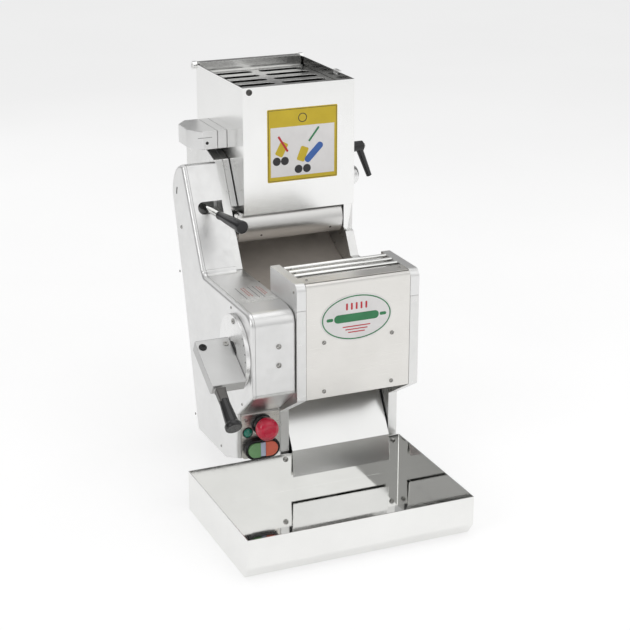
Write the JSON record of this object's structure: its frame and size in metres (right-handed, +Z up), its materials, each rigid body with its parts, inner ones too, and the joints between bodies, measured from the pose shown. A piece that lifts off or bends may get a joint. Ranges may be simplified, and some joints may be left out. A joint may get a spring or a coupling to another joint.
{
  "type": "dough sheeter",
  "caption": "Bench-top dough sheeter with a grilled hopper, two sheeting rollers, side gearbox, lift-off pasta cutter, discharge chute and catch tray.",
  "frame": {"origin": "middle of the footprint, on the bench", "axes": "+X to the operator's right, +Y to the rear, +Z up; the tray faces -Y"},
  "size_m": [0.3982, 0.6636, 0.6145],
  "materials": {
    "polished_stainless": "mirror-polished stainless sheet",
    "brushed_stainless": "fine vertical brush",
    "satin_casting": "satin, softly rounded casting",
    "machined_aluminium": "machined, light grey",
    "turned_steel": "turned and ground",
    "coated_slide": "satin non-stick coat",
    "motor_paint": "satin paint",
    "black_rubber": "matt",
    "black_plastic": "satin moulded",
    "red_plastic": "gloss moulded",
    "green_plastic": "satin moulded",
    "orange_plastic": "satin moulded",
    "green_lens": "clear tinted lens"
  },
  "bodies": {
    "frame": {"base_plate": "satin_casting", "foot_front_left": "black_rubber", "foot_front_right": "black_rubber", "foot_rear_left": "black_rubber", "foot_rear_right": "black_rubber", "left_frame_plate": "satin_casting", "right_frame_plate": "satin_casting", "left_upper_plate": "satin_casting", "hopper_side_plate": "satin_casting", "gearbox_housing": "satin_casting", "gearbox_cover": "satin_casting", "rear_panel": "brushed_stainless", "bracket_block": "machined_aluminium", "cable_gland": "black_plastic", "control_panel": "brushed_stainless", "estop_base": "black_plastic", "button_housing": "black_plastic", "pilot_light": "green_lens", "tray": "polished_stainless", "discharge_chute": "polished_stainless", "dough_slide": "coated_slide", "roller_guard": "polished_stainless", "dial_plate": "machined_aluminium", "motor": "motor_paint", "drive_belt": "black_rubber", "cutter_belt": "black_rubber"},
    "front_roller": {"sheeting_roller_front": "turned_steel", "roller_gear_front": "turned_steel", "roller_pulley": "turned_steel"},
    "roller_carriage": {"rear_bearing_left": "machined_aluminium", "rear_bearing_right": "machined_aluminium"},
    "rear_roller": {"sheeting_roller_rear": "turned_steel", "roller_gear_rear": "turned_steel"},
    "motor_drive": {"motor_pulley": "turned_steel"},
    "cutter_drive": {"cutter_drive_shaft": "turned_steel", "cutter_drive_gear": "turned_steel"},
    "cutter_unit": {"cutter_cheek_left": "machined_aluminium", "cutter_cheek_right": "machined_aluminium", "cutter_front_plate": "brushed_stainless", "cutter_top_strip": "brushed_stainless", "guard_rod_front": "polished_stainless", "guard_rod_middle": "polished_stainless", "guard_rod_rear": "polished_stainless"},
    "front_cutter": {"cutting_roller_front": "turned_steel"},
    "rear_cutter": {"cutting_roller_rear": "turned_steel"},
    "thickness_lever": {"thickness_lever_block": "machined_aluminium", "thickness_grip": "black_plastic", "lever_shaft": "turned_steel"},
    "clutch": {"clutch_lever": "polished_stainless", "clutch_grip": "black_plastic"},
    "hopper": {"hopper_shell": "polished_stainless", "hopper_bracket": "machined_aluminium", "bearing_cap": "machined_aluminium", "lid_hinge_pin": "turned_steel"},
    "lid": {"hopper_lid": "polished_stainless", "lid_hinge": "polished_stainless"},
    "clamp": {"clamp_lever": "black_plastic"},
    "estop": {"estop_button": "red_plastic"},
    "start": {"start_button": "green_plastic"},
    "stop": {"stop_button": "orange_plastic"}
  },
  "joints": [
    {"name": "roller_drive", "type": "hinge", "parent": "frame", "child": "front_roller", "pos_m": [0.0509, 0.13725, 0.3805], "axis": [1, 0, 0], "continuous": true},
    {"name": "roller_gap", "type": "slide", "parent": "frame", "child": "roller_carriage", "axis": [0, 1, 0], "range_m": [-0.00063, 0.0022]},
    {"name": "rear_roller_spin", "type": "hinge", "parent": "roller_carriage", "child": "rear_roller", "pos_m": [0.0509, 0.18725, 0.3805], "axis": [1, 0, 0], "continuous": true},
    {"name": "motor_spin", "type": "hinge", "parent": "frame", "child": "motor_drive", "pos_m": [-0.0491, 0.04625, 0.112], "axis": [1, 0, 0], "continuous": true},
    {"name": "cutter_drive_spin", "type": "hinge", "parent": "frame", "child": "cutter_drive", "pos_m": [-0.0391, -0.06185, 0.3011], "axis": [1, 0, 0], "continuous": true},
    {"name": "cutter_lift", "type": "slide", "parent": "frame", "child": "cutter_unit", "axis": [0, 0, 1], "range_m": [0, 0.12]},
    {"name": "rear_cutter_spin", "type": "hinge", "parent": "cutter_unit", "child": "rear_cutter", "pos_m": [0.0569, -0.06185, 0.341], "axis": [1, 0, 0], "continuous": true},
    {"name": "front_cutter_spin", "type": "hinge", "parent": "cutter_unit", "child": "front_cutter", "pos_m": [0.0569, -0.09125, 0.341], "axis": [1, 0, 0], "continuous": true},
    {"name": "thickness_turn", "type": "hinge", "parent": "frame", "child": "thickness_lever", "pos_m": [-0.1241, -0.08275, 0.252], "axis": [-1, 0, 0], "range_deg": [-20, 70]},
    {"name": "clutch_turn", "type": "hinge", "parent": "frame", "child": "clutch", "pos_m": [-0.0966, 0.18625, 0.419], "axis": [0, 0, 1], "range_deg": [-6, 16]},
    {"name": "hopper_lift", "type": "slide", "parent": "frame", "child": "hopper", "axis": [0, 0, 1], "range_m": [0, 0.12]},
    {"name": "lid_turn", "type": "hinge", "parent": "hopper", "child": "lid", "pos_m": [0.0629, 0.32425, 0.607], "axis": [-1, 0, 0], "range_deg": [0, 100]},
    {"name": "clamp_turn", "type": "hinge", "parent": "hopper", "child": "clamp", "pos_m": [0.1709, 0.11825, 0.495], "axis": [1, 0, 0], "range_deg": [-75, 75]},
    {"name": "estop_press", "type": "slide", "parent": "frame", "child": "estop", "axis": [0, 1, 0], "range_m": [0, 0.0035], "stiffness_N_per_m": 400},
    {"name": "start_press", "type": "slide", "parent": "frame", "child": "start", "axis": [0, 1, 0], "range_m": [0, 0.003], "stiffness_N_per_m": 300},
    {"name": "stop_press", "type": "slide", "parent": "frame", "child": "stop", "axis": [0, 1, 0], "range_m": [0, 0.003], "stiffness_N_per_m": 300}
  ],
  "couplings": [
    {"joint": "rear_roller_spin", "follows": "roller_drive", "ratio": -1},
    {"joint": "motor_spin", "follows": "roller_drive", "ratio": 1},
    {"joint": "cutter_drive_spin", "follows": "roller_drive", "ratio": 1},
    {"joint": "rear_cutter_spin", "follows": "roller_drive", "ratio": -1.7143},
    {"joint": "front_cutter_spin", "follows": "roller_drive", "ratio": 1.7143},
    {"joint": "thickness_turn", "follows": "roller_gap", "rad_per_m": 555.56}
  ]
}
